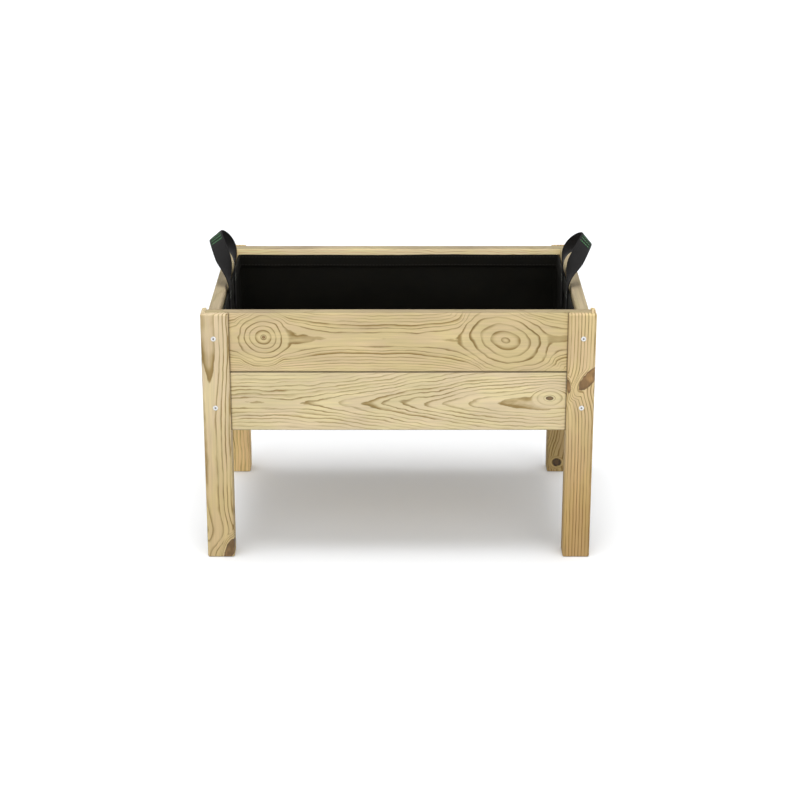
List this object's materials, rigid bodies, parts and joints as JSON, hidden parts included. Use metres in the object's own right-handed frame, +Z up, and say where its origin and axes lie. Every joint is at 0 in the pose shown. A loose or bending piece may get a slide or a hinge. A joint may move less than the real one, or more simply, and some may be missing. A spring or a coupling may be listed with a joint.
{
  "type": "raised garden planter",
  "caption": "Low raised garden planter: pine boards screwed to rebated corner legs, slatted floor, and a fabric planting bag that lifts out by two webbing loop handles.",
  "frame": {"origin": "on the ground, under the middle of the planter", "axes": "+X to the right along the long front, -Y towards the front, +Z up"},
  "size_m": [0.6088, 0.4, 0.4791],
  "materials": {
    "pine": "planed, pale green-yellow treated pine with brown grain",
    "inner_pine": "planed pine, out of sight under the bag",
    "zinc": "bright zinc plated",
    "bag_fabric": "matt black woven fabric",
    "webbing": "black woven webbing"
  },
  "bodies": {
    "frame": {"leg_front_right": "pine", "leg_front_left": "pine", "leg_rear_right": "pine", "leg_rear_left": "pine", "leg_screw_front_right_lower": "zinc", "leg_screw_front_right_upper": "zinc", "leg_screw_front_left_lower": "zinc", "leg_screw_front_left_upper": "zinc", "leg_screw_rear_right_lower": "zinc", "leg_screw_rear_right_upper": "zinc", "leg_screw_rear_left_lower": "zinc", "leg_screw_rear_left_upper": "zinc", "front_board_lower": "pine", "front_board_upper": "pine", "rear_board_lower": "pine", "rear_board_upper": "pine", "left_board_lower": "pine", "left_board_upper": "pine", "right_board_lower": "pine", "right_board_upper": "pine", "bearer_front": "inner_pine", "bearer_rear": "inner_pine", "bearer_screw_front_1": "zinc", "bearer_screw_front_2": "zinc", "bearer_screw_front_3": "zinc", "bearer_screw_rear_1": "zinc", "bearer_screw_rear_2": "zinc", "bearer_screw_rear_3": "zinc", "slat_1": "inner_pine", "slat_2": "inner_pine", "slat_3": "inner_pine", "slat_4": "inner_pine", "slat_5": "inner_pine", "slat_screw_front_1": "zinc", "slat_screw_front_2": "zinc", "slat_screw_front_3": "zinc", "slat_screw_front_4": "zinc", "slat_screw_front_5": "zinc", "slat_screw_rear_1": "zinc", "slat_screw_rear_2": "zinc", "slat_screw_rear_3": "zinc", "slat_screw_rear_4": "zinc", "slat_screw_rear_5": "zinc"},
    "bag": {"fabric_bag": "bag_fabric", "left_handle_tail_front": "webbing", "left_handle_tail_rear": "webbing", "right_handle_tail_front": "webbing", "right_handle_tail_rear": "webbing"},
    "left_handle": {"left_handle_loop": "webbing"},
    "right_handle": {"right_handle_loop": "webbing"}
  },
  "joints": [
    {"name": "bag_lift", "type": "slide", "parent": "frame", "child": "bag", "axis": [0, 0, 1], "range_m": [0, 0.2]},
    {"name": "left_handle_fold", "type": "hinge", "parent": "bag", "child": "left_handle", "pos_m": [-0.2647, 0, 0.392], "axis": [0, 1, 0], "range_deg": [0, 165]},
    {"name": "right_handle_fold", "type": "hinge", "parent": "bag", "child": "right_handle", "pos_m": [0.2647, 0, 0.392], "axis": [0, -1, 0], "range_deg": [0, 165]}
  ]
}
